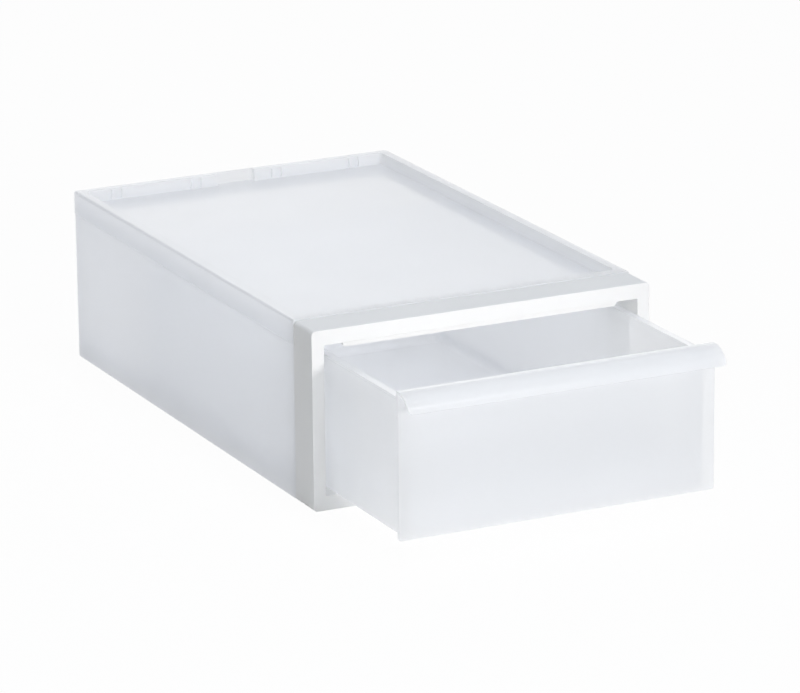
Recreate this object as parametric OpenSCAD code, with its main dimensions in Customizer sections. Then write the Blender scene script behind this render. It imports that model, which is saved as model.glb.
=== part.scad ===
// Stackable drawer box: a case of snapped-together panels with one pull-out drawer.
// Millimetres, +Z up, the front towards -Y. The origin is the centre of the case's
// footprint, on the surface that the case stands on.

/* [Case] */
// Overall width of the case
case_w = 250; // [200:1:320]
// Overall depth of the case, front face to back
case_d = 400; // [300:1:500]
// Overall height of the case, floor to the top panel's rim
case_h = 124; // [100:1:200]
// Thickness of the side and back panels
wall_t = 2.2; // [1.8:0.1:3]
// How far the side and back panels stay inside the top panel's edge
panel_inset = 0.3; // [0:0.1:0.6]
// Outer radius of the rear vertical corners
corner_r = 2.5; // [1:0.5:6]

/* [Top panel] */
// Width of the raised rim
rim_w = 7.5; // [6.5:0.5:14]
// Depth of the recess inside the rim
tray_drop = 8.5; // [6:0.5:11]
// Height of the skirt that covers the panels' top edges
skirt_h = 16.5; // [14:0.5:22]
// Thickness of the top panel's walls
top_t = 2; // [1.6:0.1:2.4]
// Radius of the rim's outer edge
rim_edge_r = 1.8; // [0.5:0.1:1.9]
// Width of the notch in the middle of the back rim
notch_w = 29; // [16:1:50]
// Distance from the middle to the inner and outer pairs of snap tabs
tab_places = [32.1, 94.4];
// Width of one snap tab between its two slits
tab_w = 6.6; // [4:0.2:10]
// Width of a slit beside a snap tab
slit_w = 1.2; // [0.8:0.1:2]

/* [Front frame] */
// Depth of the front frame, front to back
frame_d = 28; // [20:1:40]
// Width of the frame's face beside the opening
jamb_w = 9; // [8.6:0.2:14]
// Height of the frame's face above the opening
head_h = 10.4; // [9:0.2:16]
// Height of the frame's face below the opening
sill_h = 9.6; // [9:0.2:14]
// How far the frame's top lies below the top panel's rim
frame_step = 0.8; // [0:0.1:1.5]
// Thickness of the frame's outer walls
frame_wall = 2.2; // [1.8:0.1:2.4]
// Thickness of the walls around the opening
opening_wall = 2; // [1.6:0.1:2.2]
// Radius of the frame's outer corners
frame_corner_r = 3; // [1:0.5:6]
// Half the length of the flange that hangs from the head
flange_half = 101.5; // [60:0.5:106]
// How far the flange hangs into the opening
flange_drop = 3.5; // [2.9:0.1:5]
// Thickness of the flange
flange_t = 2; // [1.5:0.1:3]

/* [Base panel] */
// Thickness of the floor plate and of the upright edge around it
base_t = 2; // [1.6:0.1:2.2]
// Height of the top of the upright edge above the ground
upstand_h = 16.5; // [14:0.5:24]
// Height of the side panels' lower edge above the ground
side_lift = 1; // [0.5:0.1:2]
// Distance from the middle to a runner
runner_x = 70; // [40:1:90]
// Height of the top of the drawer's guides above the ground
guide_h = 20; // [14:1:30]

/* [Drawer] */
// How far the drawer stands open
drawer_open = 106; // [0:1:300]
// Length of the drawer, front face to the end of its rear rim
drawer_l = 388; // [280:1:388]
// Gap at each side between the front panel and the opening
side_gap = 1; // [0.5:0.1:2]
// Gap between the front panel and the sill
sill_gap = 0.8; // [0.5:0.1:1.5]
// Gap between the front panel and the head
head_gap = 2.4; // [2:0.1:3]
// Thickness of the front panel
front_t = 2.5; // [2:0.1:4]
// Thickness of the drawer's walls and floor
tray_t = 2; // [1.5:0.1:3]
// How far the drawer's walls lie inside the front panel's edges
tray_inset = 6.3; // [5:0.1:12]
// How far the rim stands out from the wall
rim_out = 3.1; // [2:0.1:4.5]
// How far the rim lies below the front panel's top
rim_down = 6.2; // [6:0.1:12]
// Radius of the handle lip's outer curve
lip_r = 17.5; // [12:0.5:24]
// Angle through which the handle lip curves forward and down
lip_angle = 68.7; // [50:0.1:85]
// Thickness of the handle lip
lip_t = 2; // [1.5:0.1:3]

/* [Snap catches] */
// Width of a catch
catch_w = 12; // [8:1:16]
// Length of a catch in the direction in which it snaps
catch_l = 2.4; // [2:0.1:3]
// How far a catch reaches into its window
catch_grip = 1.2; // [0.8:0.1:1.5]
// How far a catch on the base panel reaches into its pocket
pocket_grip = 0.8; // [0.5:0.1:1]

/* [Drawer stop] */
// Length of drawer that stays in the case when it is pulled right out
tail = 60; // [50:1:120]
// Distance from the middle to a stop
stop_x = 60; // [30:1:80]
// Width of a stop
stop_w = 20; // [10:1:30]
// Overlap between the lugs on the drawer and the stops on the top panel
stop_grip = 2; // [1:0.1:2.4]

/* [Fits] */
// Visible gap between neighbouring outer panels
seam = 0.3; // [0.2:0.05:0.6]
// Clearance where one piece slots into another
fit = 0.2; // [0.1:0.05:0.3]
// Clearance between the drawer and its runners
run_gap = 0.3; // [0.2:0.05:0.5]

/* [Hidden] */

half_w = case_w / 2;
front_y = -case_d / 2;
back_y = case_d / 2;
over = 1;              // how far a cut runs past the surface that it opens
lap = 0.5;             // how far fused shapes reach into each other
arc_steps = 8;

// Front frame
frame_top = case_h - frame_step;
frame_back = front_y + frame_d;
opening_half = half_w - jamb_w;
opening_top = frame_top - head_h;
opening_r = 1;
flange_y = front_y + front_t + 0.3;
flange_low = opening_top - flange_drop;
flange_r = 2.9;

// Top panel
cap_front = frame_back + seam;
skirt_low = case_h - skirt_h;
field_top = case_h - tray_drop;
field_low = field_top - top_t;
tray_half = half_w - rim_w;
tray_front = cap_front + rim_w;
tray_back = back_y - rim_w;
tray_r = 3;
notch_back = back_y - top_t - 0.5;
slit_low = field_top + 1;
slit_high = case_h - 1.2;

// Side and back panels
panel_out = half_w - panel_inset;
panel_in = panel_out - wall_t;
panel_front = cap_front;
panel_back = back_y - panel_inset;
panel_back_in = panel_back - wall_t;
shoulder = skirt_low - seam;
return_w = 8.5;        // how far a side panel turns round the rear corner
return_x = panel_out - return_w;
tongue_t = 2;
tongue_band = 6;       // height or width of the step behind a tongue
tongue_top = field_low + 2.5;
tongue_low = upstand_h + 1;
tongue_reach = 12;     // how far a tongue reaches into the front frame
tongue_out = half_w - max(frame_wall, top_t) - fit;
tongue_in = tongue_out - tongue_t;
tongue_gap = half_w - top_t - tongue_out;
tongue_back = back_y - top_t - tongue_gap;
lap_back = panel_back_in - fit;
lap_w = 5;
notch_clear = notch_w / 2 + top_t + 1.5;

// Snap catches
side_catches = spread(panel_front, panel_back);
front_catches = spread(-opening_half, opening_half);
jamb_catches = spread(tongue_low, shoulder);
catch_z = shoulder + 3;           // underside of the catches inside the skirt
catch_y = frame_back - 9;         // front of the catches in the front frame
base_catch_z = side_lift + 7;
barb_z = slit_low + 1.5;
barb_w = tab_w - 2.6;
barb_back = tongue_back - tongue_t + catch_grip;
hook_top = slit_high - 1;
hook_side = 1.2;                  // width of a hook beside its window

// Base panel
base_half = panel_in - fit;
base_back = panel_back_in - fit;
floor_top = sill_h - opening_wall - fit;
floor_low = floor_top - base_t;
runner_w = 3;
runner_start = frame_back + 2;
runner_end = base_back - base_t - 3;
foot_w = 25;
foot_d = 22;
foot_gap = 1;          // play of the feet in the recess of the box below
foot_out = tray_half - foot_gap;
foot_back = tray_back - foot_gap;
skid_w = 6;
rib_t = 1.6;
rib_low = side_lift + 1;
ribs_across = 6;
ribs_along = 2;

// Drawer
panel_half = opening_half - side_gap;
panel_low = sill_h + sill_gap;
panel_top = opening_top - head_gap;
drawer_y = front_y - drawer_open;
tray_out = panel_half - tray_inset;
tray_low = panel_low;
drawer_rim = panel_top - rim_down;
rear_rim = 3;          // how far the rim stands out behind the rear wall
drawer_rear = drawer_y + drawer_l;
wall_rear = drawer_rear - rear_rim;
tray_edge_r = 1;
tray_inner_r = 3;
panel_r = 2;
runner_top = tray_low - run_gap;
guide_in = tray_out + run_gap + lap;
guide_t = 2;

// Drawer stop: the lugs pass under the head's flange, and meet the stops
lug_top = flange_low - 0.5;
lug_t = 2.5;
stop_low = lug_top - stop_grip;
stop_face = front_y + tail - rear_rim - tray_t - run_gap;
stop_t = 2;
stop_ramp = 10;

// Middles of three catches, spread evenly between a and b
function spread(a, b) = [for (i = [1 : 3]) a + (b - a) * i / 4];

// Points on an arc about (cx, cy), from angle a0 to angle a1
function arc(cx, cy, r, a0, a1) =
    [for (i = [0 : arc_steps]) let (a = a0 + (a1 - a0) * i / arc_steps)
        [cx + r * cos(a), cy + r * sin(a)]];

// Outline of a rectangle with rounded corners
function rounded(x0, y0, x1, y1, r) = concat(
    arc(x1 - r, y1 - r, r, 0, 90), arc(x0 + r, y1 - r, r, 90, 180),
    arc(x0 + r, y0 + r, r, 180, 270), arc(x1 - r, y0 + r, r, 270, 360));

// A block between two corners
module block(x0, x1, y0, y1, z0, z1) {
    translate([x0, y0, z0]) cube([x1 - x0, y1 - y0, z1 - z0]);
}

// An outline in X and Z, drawn out from y0 to y1
module along_y(y0, y1) {
    translate([0, y1, 0]) rotate([90, 0, 0]) linear_extrude(y1 - y0) children();
}

// An outline in Y and Z, drawn out from x0 to x1
module along_x(x0, x1) {
    translate([x0, 0, 0]) rotate([90, 0, 90]) linear_extrude(x1 - x0) children();
}

// The same shape on the right and on the left
module both_sides() {
    children();
    mirror([1, 0, 0]) children();
}

// Outline of a catch in its snapping direction u, on a wall at v = 0, which the window
// slides over from the ramp's low end at u = catch_l
function catch_outline(reach) =
    [[0, -lap], [0, reach], [catch_l / 4, reach], [catch_l, 0], [catch_l, -lap]];

// Catches inside the front frame, for the windows of the panels' tongues
module frame_catches() {
    both_sides() for (z = jamb_catches)
        translate([half_w - frame_wall, catch_y, z - catch_w / 2])
            linear_extrude(catch_w)
                polygon([for (p = catch_outline(fit + catch_grip)) [-p[1], p[0]]]);
    for (x = front_catches) {
        along_x(x - catch_w / 2, x + catch_w / 2)
            polygon([for (p = catch_outline(fit + catch_grip))
                [catch_y + p[0], frame_top - frame_wall - p[1]]]);
        along_x(x - catch_w / 2, x + catch_w / 2)
            polygon([for (p = catch_outline(fit + catch_grip))
                [catch_y + p[0], sill_h - opening_wall - p[1]]]);
    }
}

// Windows over the front frame's head or sill catches
module front_windows(z0, z1) {
    for (x = front_catches)
        block(x - catch_w / 2 - fit, x + catch_w / 2 + fit, catch_y - fit,
              catch_y + catch_l + fit, z0 - over, z1 + over);
}

// Opaque frame around the drawer opening, a channel that is open to the rear
module front_frame() {
    color("white") {
        difference() {
            along_y(front_y, frame_back)
                polygon(rounded(-half_w, 0, half_w, frame_top, frame_corner_r));
            along_y(front_y - over, frame_back + over)
                polygon(rounded(-opening_half, sill_h, opening_half, opening_top, opening_r));
            along_y(front_y + frame_wall, frame_back + over) difference() {
                polygon(rounded(-half_w + frame_wall, frame_wall, half_w - frame_wall,
                                frame_top - frame_wall, frame_corner_r - lap));
                polygon(rounded(-opening_half - opening_wall, sill_h - opening_wall,
                                opening_half + opening_wall, opening_top + opening_wall,
                                opening_r + opening_wall));
            }
        }
        head_flange();
        frame_catches();
    }
}

// Strip below the head that the closed drawer's front panel meets
module head_flange() {
    along_y(flange_y, flange_y + flange_t) polygon(concat(
        [[flange_half, opening_top + lap], [-flange_half, opening_top + lap]],
        arc(-flange_half + flange_r, flange_low + flange_r, flange_r, 180, 270),
        arc(flange_half - flange_r, flange_low + flange_r, flange_r, 270, 360)));
}

// Outer shape of the top panel, with rounded rear corners and rim edges
module cap_outside() {
    intersection() {
        translate([0, 0, skirt_low]) linear_extrude(skirt_h) polygon(concat(
            [[-half_w, cap_front], [half_w, cap_front]],
            arc(half_w - corner_r, back_y - corner_r, corner_r, 0, 90),
            arc(-half_w + corner_r, back_y - corner_r, corner_r, 90, 180)));
        along_y(cap_front - over, back_y + over) polygon(concat(
            [[-half_w, skirt_low - over], [half_w, skirt_low - over]],
            arc(half_w - rim_edge_r, case_h - rim_edge_r, rim_edge_r, 0, 90),
            arc(-half_w + rim_edge_r, case_h - rim_edge_r, rim_edge_r, 90, 180)));
        along_x(-half_w - over, half_w + over) polygon(concat(
            [[cap_front - over, case_h], [cap_front - over, skirt_low - over],
             [back_y, skirt_low - over]],
            arc(back_y - rim_edge_r, case_h - rim_edge_r, rim_edge_r, 0, 90)));
    }
}

// Hollow under the rim, which leaves the notch its own walls
module rim_channel() {
    difference() {
        block(-half_w + top_t, half_w - top_t, cap_front + top_t, back_y - top_t,
              skirt_low - over, case_h - top_t);
        block(-tray_half - top_t, tray_half + top_t, tray_front - top_t, tray_back + top_t,
              skirt_low - 2 * over, case_h);
        block(-notch_w / 2 - top_t, notch_w / 2 + top_t, tray_back, back_y, field_low, case_h);
    }
}

// The slits on both sides of each snap tab in the back rim
module tab_slits() {
    for (place = tab_places, side = [-1, 1])
        block(place + side * (tab_w + slit_w) / 2 - slit_w / 2,
              place + side * (tab_w + slit_w) / 2 + slit_w / 2,
              tray_back - over, tray_back + top_t + lap, slit_low, slit_high);
}

// Catches inside the skirt, for the windows of the right side panel's tongue
module skirt_catches() {
    for (y = side_catches)
        along_y(y - catch_w / 2, y + catch_w / 2)
            polygon([for (p = catch_outline(tongue_gap + catch_grip))
                [half_w - top_t - p[1], catch_z + catch_l - p[0]]]);
}

// Barbs on the snap tabs, for the hooks of the back panel
module tab_barbs() {
    for (place = tab_places)
        along_x(place - barb_w / 2, place + barb_w / 2)
            polygon([[tray_back + top_t - lap, barb_z], [tray_back + top_t, barb_z],
                     [barb_back, barb_z + catch_l], [tray_back + top_t - lap, barb_z + catch_l]]);
}

// Ramped rib under the top panel that catches a lug on the drawer's rear wall
module drawer_stop() {
    along_x(stop_x - stop_w / 2, stop_x + stop_w / 2) polygon([
        [stop_face, field_low + lap], [stop_face - stop_t - stop_ramp, field_low + lap],
        [stop_face - stop_t - stop_ramp, field_low], [stop_face - stop_t, stop_low],
        [stop_face, stop_low]]);
}

// Recessed top panel with a hollow rim and a skirt
module top_panel() {
    color("aliceblue") {
        difference() {
            cap_outside();
            translate([0, 0, field_top]) linear_extrude(tray_drop + over)
                polygon(rounded(-tray_half, tray_front, tray_half, tray_back, tray_r));
            rim_channel();
            block(-half_w + top_t, half_w - top_t, cap_front - over, back_y - top_t,
                  skirt_low - over, field_low);
            block(-notch_w / 2, notch_w / 2, tray_back - over, notch_back,
                  field_top, case_h + over);
            both_sides() tab_slits();
        }
        both_sides() {
            drawer_stop();
            skirt_catches();
            tab_barbs();
        }
        // Tongue in the head's channel
        difference() {
            block(-opening_half + tongue_band, opening_half - tongue_band,
                  frame_back - tongue_reach, cap_front + lap,
                  frame_top - frame_wall - fit - top_t, frame_top - frame_wall - fit);
            front_windows(frame_top - frame_wall - fit - top_t, frame_top - frame_wall - fit);
        }
    }
}

// Right-hand side panel, which turns round the rear corner
module side_panel() {
    color("lavender") difference() {
        side_panel_body();
        for (y = side_catches) {
            // Window for a catch inside the skirt
            block(tongue_in - over, tongue_out + over, y - catch_w / 2 - fit,
                  y + catch_w / 2 + fit, catch_z - fit, catch_z + catch_l + fit);
            // Pocket for a catch on the base panel
            block(panel_in - over, panel_in + pocket_grip + fit, y - catch_w / 2 - fit,
                  y + catch_w / 2 + fit, base_catch_z - fit, base_catch_z + catch_l + fit);
        }
        for (z = jamb_catches)
            block(tongue_in - over, tongue_out + over, catch_y - fit, catch_y + catch_l + fit,
                  z - catch_w / 2 - fit, z + catch_w / 2 + fit);
    }
}

// The right side panel's walls and tongues, before its windows are cut
module side_panel_body() {
    union() {
        translate([0, 0, side_lift]) linear_extrude(shoulder - side_lift) polygon(concat(
            [[panel_in, panel_front], [panel_out, panel_front]],
            arc(panel_out - corner_r, panel_back - corner_r, corner_r, 0, 90),
            [[return_x, panel_back], [return_x, panel_back_in], [panel_in, panel_back_in]]));
        // Tongue behind the top panel's skirt
        block(tongue_in, tongue_out, cap_front + top_t + lap, panel_back_in - tongue_band,
              shoulder - tongue_band, tongue_top);
        block(tongue_in, panel_in + lap, panel_front + top_t + lap,
              panel_back_in - tongue_band, shoulder - tongue_band, shoulder);
        // Tongue in the front frame's channel
        block(tongue_in, tongue_out, frame_back - tongue_reach, panel_front + tongue_band,
              tongue_low, shoulder);
        block(tongue_in, panel_in + lap, panel_front, panel_front + tongue_band,
              tongue_low, shoulder);
    }
}

module right_side_panel() {
    side_panel();
}

module left_side_panel() {
    mirror([1, 0, 0]) side_panel();
}

// Hooks that reach up to the barbs of the top panel's snap tabs
module tab_hooks() {
    for (place = tab_places) difference() {
        block(place - barb_w / 2 - hook_side, place + barb_w / 2 + hook_side,
              tongue_back - tongue_t, tongue_back, tongue_top - lap, hook_top);
        block(place - barb_w / 2 - fit, place + barb_w / 2 + fit,
              tongue_back - tongue_t - over, tongue_back + over,
              barb_z - fit, barb_z + catch_l + fit);
    }
}

// Back panel between the side panels' turned edges
module back_panel() {
    color("lavender") difference() {
        back_panel_body();
        for (x = front_catches)
            block(x - catch_w / 2 - fit, x + catch_w / 2 + fit, panel_back_in - over,
                  panel_back_in + pocket_grip + fit, base_catch_z - fit,
                  base_catch_z + catch_l + fit);
    }
}

// The back panel's walls, tongues and hooks, before its pockets are cut
module back_panel_body() {
    union() {
        block(-return_x + seam, return_x - seam, panel_back_in, panel_back, side_lift, shoulder);
        both_sides() {
            // Tongue behind the top panel's skirt, clear of the notch
            block(notch_clear, return_x - tongue_band, tongue_back - tongue_t, tongue_back,
                  shoulder - tongue_band, tongue_top);
            block(notch_clear, return_x - tongue_band, tongue_back - tongue_t,
                  panel_back_in + lap, shoulder - tongue_band, shoulder);
            // Lap inside the side panel's turned edge
            block(return_x - tongue_band, return_x + lap_w, lap_back - wall_t, lap_back,
                  tongue_low, shoulder);
            block(return_x - tongue_band, return_x - seam, lap_back - wall_t,
                  panel_back_in + lap, tongue_low, shoulder);
            tab_hooks();
        }
    }
}

// Open ring that carries one rear corner, and drops into the recess of a box below
module foot() {
    difference() {
        block(foot_out - foot_w, foot_out, foot_back - foot_d, foot_back, 0, floor_low + lap);
        block(foot_out - foot_w + base_t, foot_out - base_t, foot_back - foot_d + base_t,
              foot_back - base_t, -over, floor_low);
    }
}

// Catches on the upright edge, for the pockets in the side and back panels
module base_catches() {
    both_sides() for (y = side_catches)
        along_y(y - catch_w / 2, y + catch_w / 2)
            polygon([for (p = catch_outline(fit + pocket_grip))
                [base_half + p[1], base_catch_z + p[0]]]);
    for (x = front_catches)
        along_x(x - catch_w / 2, x + catch_w / 2)
            polygon([for (p = catch_outline(fit + pocket_grip))
                [base_back + p[1], base_catch_z + p[0]]]);
}

// Thin ribs that stiffen the underside
module floor_ribs() {
    rib_front = panel_front + base_t;
    rib_back = foot_back - foot_d - base_t;
    for (i = [1 : ribs_across]) {
        y = rib_front + (rib_back - rib_front) * i / ribs_across;
        block(-base_half + lap, base_half - lap, y - rib_t, y, rib_low, floor_low + lap);
    }
    for (i = [1 : ribs_along]) {
        x = base_half * i / (ribs_along + 1);
        both_sides() block(x - rib_t / 2, x + rib_t / 2, rib_front, rib_back,
                           rib_low, floor_low + lap);
    }
}

// Floor of the case, with the drawer's runners and guides
module base_panel() {
    color("gainsboro") {
        difference() {
            block(-base_half, base_half, panel_front, base_back, side_lift, upstand_h);
            block(-base_half + base_t, base_half - base_t, panel_front - over,
                  base_back - base_t, floor_top, upstand_h + over);
            block(-base_half + base_t, base_half - base_t, panel_front - over,
                  base_back - base_t, side_lift - over, floor_low);
        }
        // Tongue in the sill's channel
        difference() {
            block(-opening_half + tongue_band, opening_half - tongue_band,
                  frame_back - tongue_reach, panel_front + lap, floor_low, floor_top);
            front_windows(floor_low, floor_top);
        }
        base_catches();
        both_sides() {
            block(runner_x - runner_w / 2, runner_x + runner_w / 2, runner_start, runner_end,
                  floor_top - lap, runner_top);
            block(guide_in, guide_in + guide_t, runner_start, runner_end,
                  floor_top - lap, guide_h);
            foot();
        }
        floor_ribs();
        // Skid along the middle
        block(-skid_w / 2, skid_w / 2, tray_front + foot_gap, foot_back, 0, floor_low + lap);
    }
}

// Curved lip along the top of the front panel, open underneath
module handle_lip() {
    lip_z = panel_top - lip_r;
    along_x(-panel_half, panel_half) polygon(concat(
        [[drawer_y + front_t, panel_top]],
        arc(drawer_y, lip_z, lip_r, 90, 90 + lip_angle),
        arc(drawer_y, lip_z, lip_r - lip_t, 90 + lip_angle, 90),
        [[drawer_y + front_t, panel_top - lip_t]]));
}

// Rim round the tray, with its hollow left open
module tray_rim() {
    difference() {
        block(-tray_out - rim_out, tray_out + rim_out, drawer_y + front_t - lap, drawer_rear,
              drawer_rim - tray_t, drawer_rim);
        block(-tray_out + tray_t, tray_out - tray_t, drawer_y + front_t - 2 * lap,
              wall_rear - tray_t, drawer_rim - tray_t - over, drawer_rim + over);
    }
}

// Lug on the rear wall that meets a stop
module rear_lug() {
    lug_front = wall_rear - tray_t;
    along_x(stop_x - stop_w / 2, stop_x + stop_w / 2) polygon([
        [lug_front, drawer_rim - lap], [drawer_rear, drawer_rim - lap],
        [lug_front + lug_t, lug_top], [lug_front, lug_top]]);
}

// One-piece drawer: tray, front panel, handle lip, rims and lugs
module drawer() {
    color("ghostwhite") {
        along_y(drawer_y, drawer_y + front_t)
            polygon(rounded(-panel_half, panel_low, panel_half, panel_top, panel_r));
        difference() {
            along_y(drawer_y + front_t - lap, wall_rear) polygon(concat(
                [[tray_out, drawer_rim - lap], [-tray_out, drawer_rim - lap]],
                arc(-tray_out + tray_edge_r, tray_low + tray_edge_r, tray_edge_r, 180, 270),
                arc(tray_out - tray_edge_r, tray_low + tray_edge_r, tray_edge_r, 270, 360)));
            along_y(drawer_y + front_t - 2 * lap, wall_rear - tray_t) polygon(concat(
                [[tray_out - tray_t, drawer_rim + over], [-tray_out + tray_t, drawer_rim + over]],
                arc(-tray_out + tray_t + tray_inner_r, tray_low + tray_t + tray_inner_r,
                    tray_inner_r, 180, 270),
                arc(tray_out - tray_t - tray_inner_r, tray_low + tray_t + tray_inner_r,
                    tray_inner_r, 270, 360)));
        }
        handle_lip();
        tray_rim();
        both_sides() rear_lug();
    }
}

top_panel();
base_panel();
left_side_panel();
right_side_panel();
back_panel();
front_frame();
drawer();
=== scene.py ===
import bpy
import bmesh
import math
from mathutils import Matrix, Vector


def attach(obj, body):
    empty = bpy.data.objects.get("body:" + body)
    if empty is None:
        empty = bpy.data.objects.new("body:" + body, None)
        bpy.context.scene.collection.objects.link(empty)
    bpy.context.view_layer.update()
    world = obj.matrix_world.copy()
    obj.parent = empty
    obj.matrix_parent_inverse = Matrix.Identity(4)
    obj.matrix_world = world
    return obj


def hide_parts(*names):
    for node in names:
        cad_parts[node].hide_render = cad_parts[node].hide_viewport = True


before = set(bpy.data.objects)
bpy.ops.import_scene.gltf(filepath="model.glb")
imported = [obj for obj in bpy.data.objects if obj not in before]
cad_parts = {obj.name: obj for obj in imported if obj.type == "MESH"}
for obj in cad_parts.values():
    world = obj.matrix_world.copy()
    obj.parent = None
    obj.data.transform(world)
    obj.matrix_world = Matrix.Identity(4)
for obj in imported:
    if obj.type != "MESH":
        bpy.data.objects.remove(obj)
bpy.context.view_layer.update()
mm = 0.001  # sizes below are in millimetres
past = 1  # how far a cut runs past the surface that it opens
lap = 0.5  # how far joined shapes reach into each other
play = 0.2  # room around every catch and tongue
near = 0.1  # an edge is picked by a plane that it lies this close to
sharpTurn = math.radians(32)  # an edge that turns less than this isn't softened
shadeTurn = math.radians(40)  # an edge that turns more than this is shaded as a crease
flatTurn = math.radians(0.4)  # faces that turn less than this become one
mergeWithin = 0.002 * mm  # corners that lie closer become one

print("frame loaded")


# modelling helpers

def runs(way, axis):
    # whether an edge's direction is along an axis
    return abs(way["xyz".index(axis)]) > 0.9


def roundEdges(bm, radius, wanted, segments=6, sharpOnly=False):
    # wanted tells from an edge's middle and direction whether it is rounded
    edges = [e for e in bm.edges if wanted(*((e.verts[0].co + e.verts[1].co) / 2 / mm),
                                           (e.verts[1].co - e.verts[0].co).normalized())]
    if sharpOnly:
        edges = [e for e in edges if e.calc_face_angle(0) > sharpTurn]
    bmesh.ops.bevel(bm, geom=edges, offset=radius * mm, offset_type="OFFSET", affect="EDGES",
                    segments=segments, profile=0.5, material=-1, clamp_overlap=False)


def block(x, y, z):
    # a box between pairs of coordinates
    bm = bmesh.new()
    bmesh.ops.create_cube(bm, size=mm)
    bmesh.ops.scale(bm, vec=(x[1] - x[0], y[1] - y[0], z[1] - z[0]), verts=bm.verts)
    middle = Vector((x[0] + x[1], y[0] + y[1], z[0] + z[1])) * mm / 2
    bmesh.ops.translate(bm, vec=middle, verts=bm.verts)
    return bm


def tube(half, y, z, radius):
    # a box about the middle of the case, whose long edges from front to back are rounded
    bm = block((-half, half), y, z)
    roundEdges(bm, radius, lambda px, py, pz, way: runs(way, "y"), segments=8)
    return bm


def prism(span, corners, across="x"):
    # an outline of (y, z) corners drawn out along x, or of (x, z) corners along y
    bm = bmesh.new()
    seat = (lambda u, v: (span[0], u, v)) if across == "x" else (lambda u, v: (u, span[0], v))
    face = bm.faces.new([bm.verts.new(Vector(seat(u, v)) * mm) for u, v in corners])
    drawn = bmesh.ops.extrude_face_region(bm, geom=[face])["geom"]
    way = Vector((1, 0, 0) if across == "x" else (0, 1, 0)) * (span[1] - span[0]) * mm
    bmesh.ops.translate(bm, vec=way, verts=[v for v in drawn if isinstance(v, bmesh.types.BMVert)])
    bmesh.ops.recalc_face_normals(bm, faces=bm.faces)
    return bm


def mirrored(bm):
    # a copy on the other side of the case's middle plane
    copy = bm.copy()
    bmesh.ops.scale(copy, vec=(-1, 1, 1), verts=copy.verts)
    bmesh.ops.reverse_faces(copy, faces=copy.faces)
    return copy


def onSide(side, a, b):
    # the span from a to b outwards from the middle, on the right (1) or the left (-1)
    return (a, b) if side > 0 else (-b, -a)


def centred(middle, width):
    return (middle - width / 2, middle + width / 2)


def toObject(name, bm):
    mesh = bpy.data.meshes.new(name)
    bm.to_mesh(mesh)
    bm.free()
    made = bpy.data.objects.new(name, mesh)
    bpy.context.scene.collection.objects.link(made)
    return made


def meshOf(piece):
    bm = bmesh.new()
    bm.from_mesh(piece.data)
    return bm


def bake(piece):
    # what the modifiers make becomes the mesh
    ready = piece.evaluated_get(bpy.context.evaluated_depsgraph_get())
    piece.data = bpy.data.meshes.new_from_object(ready)
    piece.modifiers.clear()


def carve(piece, steps):
    # joins ("+") or cuts ("-") each shape in turn, then merges doubles and flat neighbours
    tools = []
    for sign, shape in steps:
        tools.append(toObject("tool", shape))
        step = piece.modifiers.new("step", "BOOLEAN")
        step.object = tools[-1]
        step.operation = "UNION" if sign == "+" else "DIFFERENCE"
        step.solver = "MANIFOLD"
    bake(piece)
    for tool in tools:
        bpy.data.objects.remove(tool)
    bm = meshOf(piece)
    bmesh.ops.remove_doubles(bm, verts=bm.verts, dist=mergeWithin)
    bmesh.ops.dissolve_limit(bm, angle_limit=flatTurn, verts=bm.verts, edges=bm.edges)
    bm.to_mesh(piece.data)
    bm.free()


def takeShape(piece):
    # a finished mesh that another piece is joined to
    bm = meshOf(piece)
    bpy.data.objects.remove(piece)
    return bm


def soften(piece, radius, wanted):
    # rounds the wanted edges among those that turn sharply
    bm = meshOf(piece)
    roundEdges(bm, radius, wanted, segments=3, sharpOnly=True)
    bm.to_mesh(piece.data)
    bm.free()


def finishPiece(piece, body, material):
    # flat faces stay flat beside rounded edges, then what the piece stands for
    for face in piece.data.polygons:
        face.use_smooth = True
    piece.data.set_sharp_from_angle(angle=shadeTurn)
    even = piece.modifiers.new("evenShading", "WEIGHTED_NORMAL")
    even.keep_sharp = True
    piece.data.materials.clear()
    piece.data.materials.append(material)
    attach(piece, body)
    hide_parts(piece.name.removesuffix("_moulding"))


# materials

def linear(hexColour):
    parts = [int(hexColour[i:i + 2], 16) / 255 for i in (0, 2, 4)]
    return [c / 12.92 if c <= 0.04045 else ((c + 0.055) / 1.055) ** 2.4 for c in parts] + [1.0]


def addNode(owner, kind, settings=None, values=None, links=None):
    node = owner.node_tree.nodes.new(kind)
    for name, value in (settings or {}).items():
        setattr(node, name, value)
    for name, value in (values or {}).items():
        node.inputs[name].default_value = value
    for name, source in (links or {}).items():
        owner.node_tree.links.new(source, node.inputs[name])
    return node


def newMaterial(name):
    material = bpy.data.materials.new(name)
    material.use_nodes = True
    material.node_tree.nodes.clear()
    return material


# what every moulding has: the mould's fine spark texture, drawn coarser than its real 0.1 mm so
# that it shows, and broad faint clouds in tone and gloss where the melt flowed
moulding = dict(grain=0.7, bumpDepth=0.05, cloud=60, cloudLow=0.3, cloudHigh=0.7, roughSpread=0.04,
                ior=1.49, skinRough=0.12)


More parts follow.
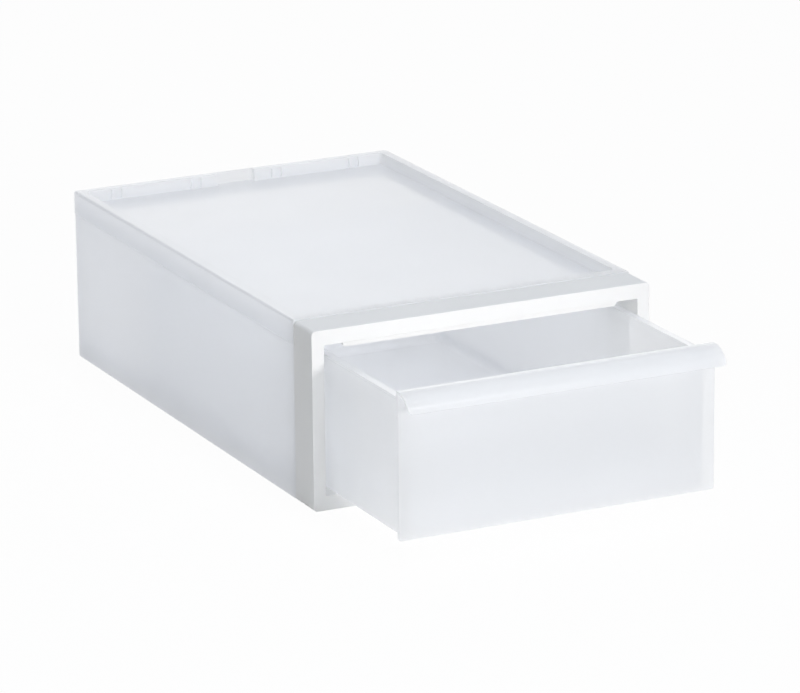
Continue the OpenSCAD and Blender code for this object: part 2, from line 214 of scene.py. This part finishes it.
def mouldedPlastic(name, look):
    # injection-moulded polypropylene. Where it is translucent, a wall scatters the light once,
    # where it enters, and sends part of it back and part of it on
    material = newMaterial(name)
    place = addNode(material, "ShaderNodeTexCoord").outputs["Object"]
    grain = addNode(material, "ShaderNodeTexNoise", values={
        "Scale": 1 / (look["grain"] * mm), "Detail": 2.0, "Roughness": 0.6}, links={"Vector": place})
    cloud = addNode(material, "ShaderNodeTexNoise", values={
        "Scale": 1 / (look["cloud"] * mm), "Detail": 1.0, "Roughness": 0.5}, links={"Vector": place})
    bump = addNode(material, "ShaderNodeBump", values={
        "Strength": look["bump"], "Distance": look["bumpDepth"] * mm}, links={
        "Height": grain.outputs["Fac"]})
    tone = addNode(material, "ShaderNodeMix", {"data_type": "RGBA"}, links={
        "Factor": cloud.outputs["Fac"]})
    tone.inputs["A"].default_value = linear(look["colour"])
    tone.inputs["B"].default_value = linear(look["colourDeep"])
    colour = tone.outputs["Result"]
    rough = addNode(material, "ShaderNodeMapRange", values={
        "From Min": look["cloudLow"], "From Max": look["cloudHigh"],
        "To Min": look["rough"] - look["roughSpread"], "To Max": look["rough"] + look["roughSpread"]},
        links={"Value": cloud.outputs["Fac"]})
    surface = addNode(material, "ShaderNodeBsdfPrincipled", values={
        "IOR": look["ior"], "Transmission Weight": look["clear"], "Coat Weight": look["skin"],
        "Coat Roughness": look["skinRough"]}, links={
        "Base Color": colour, "Roughness": rough.outputs["Result"],
        "Normal": bump.outputs["Normal"]}).outputs["BSDF"]
    if look["through"]:
        glow = addNode(material, "ShaderNodeBsdfTranslucent", links={
            "Color": colour, "Normal": bump.outputs["Normal"]}).outputs["BSDF"]
        surface = addNode(material, "ShaderNodeMixShader", values={"Fac": look["through"]}, links={
            1: surface, 2: glow}).outputs["Shader"]
        leaving = addNode(material, "ShaderNodeNewGeometry").outputs["Backfacing"]
        unchanged = addNode(material, "ShaderNodeBsdfTransparent").outputs["BSDF"]
        surface = addNode(material, "ShaderNodeMixShader", links={
            0: leaving, 1: surface, 2: unchanged}).outputs["Shader"]
    addNode(material, "ShaderNodeOutputMaterial", links={"Surface": surface})
    return material


# natural polypropylene, a milky sheet with a satin skin: it glows where light stands behind it,
# blurs what it covers, and draws a bright line along its rims
frostedPanel = mouldedPlastic("naturalPolypropylenePanel", dict(
    moulding, colour="F8F9FB", colourDeep="F7F8FA", bump=0.1, rough=0.35, clear=0.4, through=0.55,
    skin=1.0))
# the same plastic in the drawer, which sends more of the light back and so looks a little whiter
frostedDrawer = mouldedPlastic("naturalPolypropyleneDrawer", dict(
    moulding, colour="FBFCFD", colourDeep="FAFBFD", bump=0.1, rough=0.35, clear=0.4, through=0.4,
    skin=1.0))
# polypropylene filled with white pigment: solid and chalky, with no skin to mirror anything
whiteFrame = mouldedPlastic("whitePolypropylene", dict(
    moulding, colour="F4F4F3", colourDeep="F2F2F1", bump=0.08, rough=0.65, clear=0.0, through=0.0,
    skin=0.0))

print("materials made")


# what the pieces of the case have in common: "half" sizes and x run from its middle plane, y from
# front to back and z up from the floor

shell = dict(half=125, openingHalf=116, wall=2.2, panelFront=-171.7, panelBack=199.7, panelLow=1,
             panelTop=107.2, tongueThickness=2, tongueFront=-184, tongueLow=17.5, tongueTop=116,
             frontTongueHalf=110, band=6)


# catches: a ramped step on one piece, and the window or pocket that it snaps into on the other

catch = dict(width=12, length=2.4, grip=1.2, pocketGrip=0.8, steep=0.25, frameStart=-181,
             skirtTop=112.6, baseStart=8)


def spread(low, high):
    # the quarters of an edge, where its three catches sit
    return [low + (high - low) * i / 4 for i in (1, 2, 3)]


def ramp(reach):
    # (along, out) corners of a catch, steep at the start and sloping after a quarter
    return [(0, -lap), (0, reach), (catch["length"] * catch["steep"], reach), (catch["length"], 0),
            (catch["length"], -lap)]


def window(low, high):
    # the span of an opening with room for what lies between low and high
    return (low - play, high + play)


frontCatches = spread(-shell["openingHalf"], shell["openingHalf"])
sideCatches = spread(shell["panelFront"], shell["panelBack"])
jambCatches = spread(shell["tongueLow"], shell["panelTop"])
frameWindow = window(catch["frameStart"], catch["frameStart"] + catch["length"])
skirtWindow = window(catch["skirtTop"] - catch["length"], catch["skirtTop"])
basePocket = window(catch["baseStart"], catch["baseStart"] + catch["length"])


# front frame: opaque, a channel that is open to the rear

frontFrame = dict(front=-200, back=-172, top=123.2, cornerRadius=3, openingLow=9.6,
                  openingHigh=112.8, openingWall=2, openingRadius=1, flangeHalf=101.5,
                  flangeLow=109.3, flangeFront=-197.2, flangeBack=-195.2, flangeRadius=2.9,
                  edge=0.45)


def buildFrontFrame(s):
    half, wall, rim = shell["half"], shell["wall"], s["openingWall"]
    outside = tube(half, (s["front"], s["back"]), (0, s["top"]), s["cornerRadius"])
    channel = tube(half - wall, (s["front"] + wall, s["back"] + past), (wall, s["top"] - wall),
                   s["cornerRadius"] - lap)
    sleeve = tube(shell["openingHalf"] + rim, (s["front"] + wall - lap, s["back"]),
                  (s["openingLow"] - rim, s["openingHigh"] + rim), s["openingRadius"] + rim)
    opening = tube(shell["openingHalf"], (s["front"] - past, s["back"] + past),
                   (s["openingLow"], s["openingHigh"]), s["openingRadius"])
    flange = block((-s["flangeHalf"], s["flangeHalf"]), (s["flangeFront"], s["flangeBack"]),
                   (s["flangeLow"], s["openingHigh"] + lap))
    roundEdges(flange, s["flangeRadius"],
               lambda x, y, z, way: runs(way, "y") and z < s["flangeLow"] + near, segments=8)
    piece = toObject("front_frame_moulding", outside)
    carve(piece, [("-", channel), ("+", sleeve), ("-", opening), ("+", flange)])
    soften(piece, s["edge"], lambda x, y, z, way: y < s["flangeFront"] - lap or y > s["back"] - near)
    steps = []
    step = [(catch["frameStart"] + u, v) for u, v in ramp(play + catch["grip"])]
    for z in jambCatches:  # drawn lying down, then turned up against the right jamb
        bm = prism(centred(z, catch["width"]), [(y, half - wall - v) for y, v in step])
        bmesh.ops.rotate(bm, matrix=Matrix.Rotation(math.radians(90), 3, "Y"), verts=bm.verts)
        bmesh.ops.scale(bm, vec=(1, 1, -1), verts=bm.verts)
        bmesh.ops.recalc_face_normals(bm, faces=bm.faces)
        steps += [("+", mirrored(bm)), ("+", bm)]
    for x in frontCatches:
        for ceiling in (s["top"] - wall, s["openingLow"] - rim):
            steps.append(("+", prism(centred(x, catch["width"]), [(y, ceiling - v) for y, v in step])))
    carve(piece, steps)
    return piece


finishPiece(buildFrontFrame(frontFrame), "case", whiteFrame)
print("front frame modelled")


# top panel: a recess inside a hollow rim, with a skirt that covers the panels' edges

topPanel = dict(back=200, low=107.5, top=124, wall=2, cornerRadius=2.5, rimRadius=1.8, rimWidth=7.5,
                fieldTop=115.5, recessRadius=3, notchHalf=14.5, notchBack=197.5,
                tabs=(32.1, 94.4), tabWidth=6.6, slitWidth=1.2, slitLow=116.5, slitHigh=122.8,
                barbWidth=4, barbLow=118, barbBack=196.8, skirtGap=0.4, tongueTop=120.8,
                stopAt=60, stopWidth=20, stopFace=-145.3, stopLow=106.8, stopRamp=10, edge=0.3)


def buildTopPanel(s):
    half, front, back, wall = shell["half"], shell["panelFront"], s["back"], s["wall"]
    inHalf, inFront, inBack = half - s["rimWidth"], front + s["rimWidth"], back - s["rimWidth"]
    fieldLow = s["fieldTop"] - wall
    outside = block((-half, half), (front, back), (s["low"], s["top"]))
    roundEdges(outside, s["cornerRadius"], lambda x, y, z, way: runs(way, "z") and y > 0)
    roundEdges(outside, s["rimRadius"],
               lambda x, y, z, way: z > s["top"] - near and y > front + near)
    under = block((-half + wall, half - wall), (front - past, back - wall),
                  (s["low"] - past, fieldLow))
    hollow = block((-half + wall, half - wall), (front + wall, back - wall),
                   (fieldLow - lap, s["top"] - wall))
    core = block((-inHalf - wall, inHalf + wall), (inFront - wall, inBack + wall),
                 (fieldLow, s["top"] - wall + lap))
    notchCore = block((-s["notchHalf"] - wall, s["notchHalf"] + wall), (inBack, back - lap),
                      (fieldLow, s["top"] - wall + lap))
    field = block((-inHalf, inHalf), (inFront, inBack), (s["fieldTop"], s["top"] + past))
    roundEdges(field, s["recessRadius"], lambda x, y, z, way: runs(way, "z"), segments=8)
    notch = block((-s["notchHalf"], s["notchHalf"]), (inBack - past, s["notchBack"]),
                  (s["fieldTop"], s["top"] + past))
    piece = toObject("top_panel_moulding", outside)
    carve(piece, [("-", under), ("-", hollow), ("+", core), ("+", notchCore), ("-", field),
                  ("-", notch)])

    def toRound(x, y, z, way):
        # the recess's and the notch's upper edges, the front edge and the skirt's lower edge
        recess = max(abs(x) - inHalf, inFront - y, y - inBack) < near
        inNotch = y > inBack and abs(x) < s["notchHalf"] + near
        upper = z > s["fieldTop"] - near and (recess or inNotch or y < front + near)
        skirt = z < s["low"] + near and (abs(x) > half - wall / 2 or y > back - wall / 2)
        return upper or skirt

    soften(piece, s["edge"], toRound)
    steps = []
    for side in (-1, 1):
        for tab in s["tabs"]:
            for edge in (-1, 1):
                slit = side * (tab + edge * (s["tabWidth"] + s["slitWidth"]) / 2)
                steps.append(("-", block(centred(slit, s["slitWidth"]),
                                         (inBack - past, inBack + wall + lap),
                                         (s["slitLow"], s["slitHigh"]))))
            root, barbTop = inBack + wall, s["barbLow"] + catch["length"]
            steps.append(("+", prism(centred(side * tab, s["barbWidth"]), [
                (root - lap, s["barbLow"]), (root, s["barbLow"]), (s["barbBack"], barbTop),
                (root - lap, barbTop)])))
        face, thin = s["stopFace"], s["stopFace"] - wall
        steps.append(("+", prism(centred(side * s["stopAt"], s["stopWidth"]), [
            (face, fieldLow + lap), (thin - s["stopRamp"], fieldLow + lap),
            (thin - s["stopRamp"], fieldLow), (thin, s["stopLow"]), (face, s["stopLow"])])))
    for y in sideCatches:
        bm = prism(centred(y, catch["width"]), [
            (half - wall - v, catch["skirtTop"] - u)
            for u, v in ramp(s["skirtGap"] + catch["grip"])], across="y")
        steps += [("+", mirrored(bm)), ("+", bm)]
    tongue = (s["tongueTop"] - wall, s["tongueTop"])
    steps.append(("+", block((-shell["frontTongueHalf"], shell["frontTongueHalf"]),
                             (shell["tongueFront"], front + lap), tongue)))
    for x in frontCatches:
        steps.append(("-", block(window(*centred(x, catch["width"])), frameWindow,
                                 (tongue[0] - past, tongue[1] + past))))
    carve(piece, steps)
    return piece


finishPiece(buildTopPanel(topPanel), "case", frostedPanel)
print("top panel modelled")


# side panels: each turns round its rear corner, with a tongue at the top and one at the front

sidePanel = dict(out=124.7, cornerRadius=2.5, turn=8.5, tongueOut=122.6, tongueSetBack=2.5, edge=0.3)


def buildSidePanel(s):
    out, wall, band, top = s["out"], shell["wall"], shell["band"], shell["panelTop"]
    front, back, low = shell["panelFront"], shell["panelBack"], shell["panelLow"]
    inside, insideBack = out - wall, back - wall
    tongue = (s["tongueOut"] - shell["tongueThickness"], s["tongueOut"])
    step = (tongue[0], inside + lap)
    outside = block((out - s["turn"], out), (front, back), (low, top))
    roundEdges(outside, s["cornerRadius"],
               lambda x, y, z, way: runs(way, "z") and y > 0 and x > inside)
    piece = toObject("right_side_panel_moulding", outside)
    carve(piece, [("-", block((out - s["turn"] - past, inside), (front - past, insideBack),
                              (low - past, top + past)))])
    soften(piece, s["edge"], lambda x, y, z, way: True)
    along = (front + s["tongueSetBack"], insideBack - band)
    steps = [
        ("+", block(step, along, (top - band, top))),
        ("+", block(tongue, along, (top - band, shell["tongueTop"]))),
        ("+", block(step, (front, front + band), (shell["tongueLow"], top))),
        ("+", block(tongue, (shell["tongueFront"], front + band), (shell["tongueLow"], top)))]
    cut = (tongue[0] - past, tongue[1] + past)
    pocket = (inside - past, inside + catch["pocketGrip"] + play)
    for y in sideCatches:
        steps.append(("-", block(cut, window(*centred(y, catch["width"])), skirtWindow)))
        steps.append(("-", block(pocket, window(*centred(y, catch["width"])), basePocket)))
    for z in jambCatches:
        steps.append(("-", block(cut, frameWindow, window(*centred(z, catch["width"])))))
    carve(piece, steps)
    return piece


rightSide = buildSidePanel(sidePanel)
rightShape = meshOf(rightSide)
leftSide = toObject("left_side_panel_moulding", mirrored(rightShape))
rightShape.free()
for piece in (rightSide, leftSide):
    finishPiece(piece, "case", frostedPanel)
print("side panels modelled")


# back panel: between the side panels' turned edges, with hooks for the top panel's tabs

backPanel = dict(half=115.9, turnAt=116.2, tongueBack=197.6, clear=18, lapBack=197.3, lapWidth=5,
                 hookTop=121.8, hookSide=1.2, edge=0.3)


def buildBackPanel(s):
    face, wall, band, turnAt = shell["panelBack"], shell["wall"], shell["band"], s["turnAt"]
    low, top = shell["panelLow"], shell["panelTop"]
    inside, lapFront = face - wall, s["lapBack"] - wall
    tongue = (s["tongueBack"] - shell["tongueThickness"], s["tongueBack"])
    piece = toObject("back_panel_moulding", block((-s["half"], s["half"]), (inside, face), (low, top)))
    soften(piece, s["edge"], lambda x, y, z, way: True)
    steps = []
    barbLow, barbTop = topPanel["barbLow"], topPanel["barbLow"] + catch["length"]
    for side in (-1, 1):
        flat = onSide(side, s["clear"], turnAt - band)
        steps += [
            ("+", block(flat, tongue, (top - band, shell["tongueTop"]))),
            ("+", block(flat, (tongue[0], inside + lap), (top - band, top))),
            ("+", block(onSide(side, turnAt - band, turnAt + s["lapWidth"]), (lapFront, s["lapBack"]),
                        (shell["tongueLow"], top))),
            ("+", block(onSide(side, turnAt - band, s["half"]), (lapFront, inside + lap),
                        (shell["tongueLow"], top)))]
        for tab in topPanel["tabs"]:
            hook = centred(side * tab, topPanel["barbWidth"] + 2 * s["hookSide"])
            steps += [
                ("+", block(hook, tongue, (shell["tongueTop"] - lap, s["hookTop"]))),
                ("-", block(window(*centred(side * tab, topPanel["barbWidth"])),
                            (tongue[0] - past, tongue[1] + past), window(barbLow, barbTop)))]
    for x in frontCatches:
        steps.append(("-", block(window(*centred(x, catch["width"])),
                                 (inside - past, inside + catch["pocketGrip"] + play), basePocket)))
    carve(piece, steps)
    return piece


finishPiece(buildBackPanel(backPanel), "case", frostedPanel)
print("back panel modelled")


# base panel: floor of the case, with runners, guides, feet and stiffening ribs

basePanel = dict(half=122.3, back=197.3, edgeTop=16.5, wall=2, floorLow=5.4, floorTop=7.4,
                 runnerAt=70, runnerWidth=3, runnerTop=10.1, guideAt=110.5, guideWidth=2,
                 guideTop=20, track=(-170, 192.3), footOut=116.5, footWidth=25, footBack=191.5,
                 footDepth=22, skidHalf=3, skidFront=-163.2, ribThickness=1.6, ribLow=2,
                 ribsAcross=6, ribsAlong=2, edge=0.25)


def buildBasePanel(s):
    half, front, back, wall = s["half"], shell["panelFront"], s["back"], s["wall"]
    low, onFloor, below = shell["panelLow"], s["floorTop"] - lap, s["floorLow"] + lap
    between, reach = (-half + wall, half - wall), (front - past, back - wall)
    piece = toObject("base_panel_moulding", block((-half, half), (front, back), (low, s["edgeTop"])))
    soften(piece, s["edge"], lambda x, y, z, way: y > front + near)
    steps = [
        ("-", block(between, reach, (s["floorTop"], s["edgeTop"] + past))),
        ("-", block(between, reach, (low - past, s["floorLow"]))),
        ("+", block((-shell["frontTongueHalf"], shell["frontTongueHalf"]),
                    (shell["tongueFront"], front + lap), (s["floorLow"], s["floorTop"]))),
        ("+", block((-s["skidHalf"], s["skidHalf"]), (s["skidFront"], s["footBack"]), (0, below)))]
    footFront, footIn = s["footBack"] - s["footDepth"], s["footOut"] - s["footWidth"]
    ribFront, ribBack = front + wall, footFront - wall
    for i in range(s["ribsAcross"]):
        y = ribFront + (ribBack - ribFront) * (i + 1) / s["ribsAcross"]
        steps.append(("+", block((-half + lap, half - lap), (y - s["ribThickness"], y),
                                 (s["ribLow"], below))))
    step = [(v, catch["baseStart"] + u) for u, v in ramp(play + catch["pocketGrip"])]
    for side in (-1, 1):
        for i in range(s["ribsAlong"]):
            x = side * half * (i + 1) / (s["ribsAlong"] + 1)
            steps.append(("+", block(centred(x, s["ribThickness"]), (ribFront, ribBack),
                                     (s["ribLow"], below))))
        steps += [
            ("+", block(centred(side * s["runnerAt"], s["runnerWidth"]), s["track"],
                        (onFloor, s["runnerTop"]))),
            ("+", block(centred(side * s["guideAt"], s["guideWidth"]), s["track"],
                        (onFloor, s["guideTop"]))),
            ("+", block(onSide(side, footIn, s["footOut"]), (footFront, s["footBack"]), (0, below))),
            ("-", block(onSide(side, footIn + wall, s["footOut"] - wall),
                        (footFront + wall, s["footBack"] - wall), (-past, s["floorLow"])))]
        for y in sideCatches:
            bm = prism(centred(y, catch["width"]), [(half + v, z) for v, z in step], across="y")
            if side < 0:
                flipped = mirrored(bm)
                bm.free()
                bm = flipped
            steps.append(("+", bm))
    for x in frontCatches:
        steps.append(("+", prism(centred(x, catch["width"]), [(back + v, z) for v, z in step])))
        steps.append(("-", block(window(*centred(x, catch["width"])), frameWindow,
                                 (s["floorLow"] - past, s["floorTop"] + past))))
    carve(piece, steps)
    return piece


finishPiece(buildBasePanel(basePanel), "case", frostedPanel)
print("base panel modelled")


# drawer: one moulding, with a front panel, a curved handle lip, rims and stop lugs

drawer = dict(half=115, front=-306, thickness=2.5, low=10.4, top=110.4, cornerRadius=2,
              trayHalf=108.7, trayRaised=0.02, wall=2, trayRear=79, trayEdge=1, innerRadius=6,
              rimTop=104.2, rimOut=3.1, rimBack=3, lipRadius=17.5, lipAngle=68.7, lipSteps=20,
              lipThickness=2, lipCorner=3, lugAt=60, lugWidth=20, lugTop=108.8, lugThickness=2.5,
              edge=0.3)


def bentLip(s):
    # a strip across the panel's top edge, drawn forwards and then bent down round an axis
    lip = bmesh.new()
    half, front, top = s["half"], s["front"], s["top"]
    back, under = front + s["thickness"], top - s["lipThickness"]
    root = lip.faces.new([lip.verts.new(Vector(p) * mm) for p in (
        (-half, back, under), (half, back, under), (half, back, top), (-half, back, top))])
    drawn = bmesh.ops.extrude_face_region(lip, geom=[root])["geom"]
    bmesh.ops.translate(lip, vec=(0, -s["thickness"] * mm, 0),
                        verts=[v for v in drawn if isinstance(v, bmesh.types.BMVert)])
    bent = [f for f in drawn if isinstance(f, bmesh.types.BMFace)][0]
    bmesh.ops.spin(lip, geom=[bent, *bent.edges, *bent.verts], axis=(1, 0, 0),
                   cent=Vector((0, front, top - s["lipRadius"])) * mm, dvec=(0, 0, 0),
                   angle=math.radians(s["lipAngle"]), steps=s["lipSteps"], use_merge=False,
                   use_normal_flip=False, use_duplicate=False)
    bmesh.ops.recalc_face_normals(lip, faces=lip.faces)
    return lip


def lipCorners(s):
    # what is cut from the lip's free end: all outside a slab with two rounded edges, which
    # stands a hair out of the cutter so that no two of their faces coincide
    tip, lean = s["lipCorner"], math.radians(s["lipAngle"])
    half, hair = s["half"], near / 10
    slab = block((-half - hair, half + hair), (-2 * tip, 2 * tip), (-hair, 3 * tip))
    roundEdges(slab, tip, lambda x, y, z, way: runs(way, "y") and z < near, segments=8)
    piece = toObject("corners", block((-half - past, half + past), (-tip, tip), (-past, tip)))
    carve(piece, [("-", slab)])
    corners = takeShape(piece)
    end = Vector((0, s["front"] - s["lipRadius"] * math.sin(lean),
                  s["top"] - s["lipRadius"] + s["lipRadius"] * math.cos(lean))) * mm
    bmesh.ops.transform(corners, verts=corners.verts, matrix=Matrix.Translation(end)
                        @ Matrix.Rotation(lean - math.radians(90), 4, "X"))
    return corners


def buildTub(s):
    # the tray without its front panel, raised by a hair above the panel's lower edge so that
    # the two are joined cleanly
    half, wall, rear, rim = s["trayHalf"], s["wall"], s["trayRear"], s["rimTop"]
    panelBack, low = s["front"] + s["thickness"], s["low"] + s["trayRaised"]
    floorTop = s["low"] + wall
    tray = block((-half, half), (panelBack - lap, rear), (low, rim - lap))
    roundEdges(tray, s["trayEdge"], lambda x, y, z, way: runs(way, "y") and z < low + near,
               segments=4)
    rims = block((-half - s["rimOut"], half + s["rimOut"]), (panelBack - lap, rear + s["rimBack"]),
                 (rim - wall, rim))
    hollow = block((-half + wall, half - wall), (panelBack - past, rear - wall),
                   (floorTop, rim + past))

    def toRound(x, y, z, way):
        # the floor's edges along both sides and the rear, and the upright rear ones
        atFloor, atRear = z < floorTop + near, y > panelBack
        return atFloor and (runs(way, "y") or atRear) or runs(way, "z") and atRear

    roundEdges(hollow, s["innerRadius"], toRound)
    tub = toObject("tub", tray)
    carve(tub, [("+", rims), ("-", hollow)])
    soften(tub, s["edge"], lambda x, y, z, way: y > panelBack)
    return takeShape(tub)


def buildDrawer(s):
    front, rear, rim = s["front"], s["trayRear"], s["rimTop"]
    lip, corners, tub = bentLip(s), lipCorners(s), buildTub(s)
    piece = toObject("drawer_moulding", tube(s["half"], (front, front + s["thickness"]),
                                             (s["low"], s["top"]), s["cornerRadius"]))
    carve(piece, [("+", lip)])
    soften(piece, s["edge"], lambda x, y, z, way: True)
    steps = [("-", corners), ("+", tub)]
    lugFront = rear - s["wall"]
    for side in (-1, 1):
        steps.append(("+", prism(centred(side * s["lugAt"], s["lugWidth"]), [
            (lugFront, rim - lap), (rear + s["rimBack"] - lap, rim - lap),
            (lugFront + s["lugThickness"], s["lugTop"]), (lugFront, s["lugTop"])])))
    carve(piece, steps)
    return piece


finishPiece(buildDrawer(drawer), "drawer", frostedDrawer)
print("drawer modelled")


# studio: pale floor and soft lamps, with lengths in metres

studio = dict(
    worldStrength=0.105, worldColour="E0EEFF", floorWhite=0.9, floorLift=0.965, scatterShare=0.48,
    floorHalf=6, floorDrop=0.0001, aimAt=(0, -0.05, 0.05),
    lamps=(  # name, place in metres, side of the square in metres, watts, colour
        ("lowKey", (0.44, -3.05, 0.55), 0.4, 34.8, "FFFDFC"),
        ("steepKey", (0.28, -2.89, 2.71), 0.5, 12.5, "FAFCFF"),
        ("lipGlint", (1.5, -2.43, 2.58), 0.3, 1.6, "FFFFFF"),
        ("overhead", (0.1, -0.5, 1.9), 0.8, 14.5, "F2F7FF"),
        ("behindHigh", (0.31, 1.18, 0.92), 0.5, 2.2, "FCFEFF"),
        ("behindRight", (1.0, 1.75, 0.6), 1.2, 2.6, "FFFAF0"),
        ("leftFront", (-1.3, -0.9, 0.6), 0.8, 5.4, "FEFCF8")))


def whiteShare(owner):
    # 1 for what is seen at once, in a reflection or through the plastic, 0 for scattered light,
    # and the scatter share for light that is scattered on its way through
    path = addNode(owner, "ShaderNodeLightPath").outputs
    share = addNode(owner, "ShaderNodeMath", {"operation": "MULTIPLY_ADD"}, {
        1: studio["scatterShare"] - 1}, {
        0: path["Is Diffuse Ray"], 2: path["Is Transmission Ray"]}).outputs[0]
    for kind in ("Is Glossy Ray", "Is Camera Ray"):
        share = addNode(owner, "ShaderNodeMath", {"operation": "MAXIMUM"}, links={
            0: path[kind], 1: share}).outputs[0]
    return share


def buildWorld(s):
    world = bpy.data.worlds.new("studioWorld")
    bpy.context.scene.world = world
    world.use_nodes = True
    world.node_tree.nodes.clear()
    lit = addNode(world, "ShaderNodeBackground", values={
        "Color": linear(s["worldColour"]), "Strength": s["worldStrength"]})
    seen = addNode(world, "ShaderNodeBackground", values={
        "Color": linear("FFFFFF"), "Strength": 1.0})
    both = addNode(world, "ShaderNodeMixShader", links={
        0: whiteShare(world), 1: lit.outputs[0], 2: seen.outputs[0]})
    addNode(world, "ShaderNodeOutputWorld", links={"Surface": both.outputs[0]})


def buildFloor(s):
    # matt white paper, which keeps the shadow and is lifted to white where it is looked at
    bm = bmesh.new()
    bmesh.ops.create_grid(bm, x_segments=1, y_segments=1, size=s["floorHalf"])
    bmesh.ops.translate(bm, vec=(0, 0, -s["floorDrop"]), verts=bm.verts)
    floor = toObject("floor", bm)
    paper = newMaterial("whitePaperSweep")
    matt = addNode(paper, "ShaderNodeBsdfDiffuse", values={
        "Color": (s["floorWhite"], s["floorWhite"], s["floorWhite"], 1)})
    glow = addNode(paper, "ShaderNodeEmission", values={"Color": (1, 1, 1, 1), "Strength": 1.0})
    lift = addNode(paper, "ShaderNodeMath", {"operation": "MULTIPLY"}, {1: s["floorLift"]},
                   {0: whiteShare(paper)})
    surface = addNode(paper, "ShaderNodeMixShader", links={
        0: lift.outputs[0], 1: matt.outputs[0], 2: glow.outputs[0]})
    addNode(paper, "ShaderNodeOutputMaterial", links={"Surface": surface.outputs[0]})
    floor.data.materials.append(paper)


def buildLamps(s):
    for name, position, size, power, colour in s["lamps"]:
        lamp = bpy.data.lights.new(name, "AREA")
        lamp.shape = "SQUARE"
        lamp.size = size
        lamp.energy = power
        lamp.color = linear(colour)[:3]
        holder = bpy.data.objects.new(name, lamp)
        bpy.context.scene.collection.objects.link(holder)
        aim = Vector(s["aimAt"]) - Vector(position)
        turn = aim.to_track_quat("-Z", "Y").to_matrix().to_4x4()
        holder.matrix_world = Matrix.Translation(position) @ turn


buildWorld(studio)
buildFloor(studio)
buildLamps(studio)


# camera: angles in degrees, lengths in metres, lens and sensor in millimetres

view = dict(azimuth=26.112, elevation=16.731, roll=-0.5425, distance=3.28509, aside=0.0558365,
            lift=-0.0918077, aimAt=(0, -0.2, 0), focalLength=222.2548, sensorWidth=36, farClip=50)


def buildCamera(s):
    a, e, r = (math.radians(s[k]) for k in ("azimuth", "elevation", "roll"))
    back = Vector((-math.sin(a) * math.cos(e), -math.cos(a) * math.cos(e), math.sin(e)))
    right = (-back).cross(Vector((0, 0, 1))).normalized()
    up = right.cross(-back)
    right, up = (math.cos(r) * right + math.sin(r) * up, -math.sin(r) * right + math.cos(r) * up)
    data = bpy.data.cameras.new("camera")
    data.lens = s["focalLength"]
    data.sensor_width = s["sensorWidth"]
    data.clip_end = s["farClip"]
    camera = bpy.data.objects.new("camera", data)
    bpy.context.scene.collection.objects.link(camera)
    spot = Vector(s["aimAt"]) + back * s["distance"] - right * s["aside"] - up * s["lift"]
    axes = Matrix((right, up, back)).transposed().to_4x4()
    camera.matrix_world = Matrix.Translation(spot) @ axes
    bpy.context.scene.camera = camera


buildCamera(view)
bpy.context.scene.view_settings.view_transform = "Standard"
print("studio and camera set")
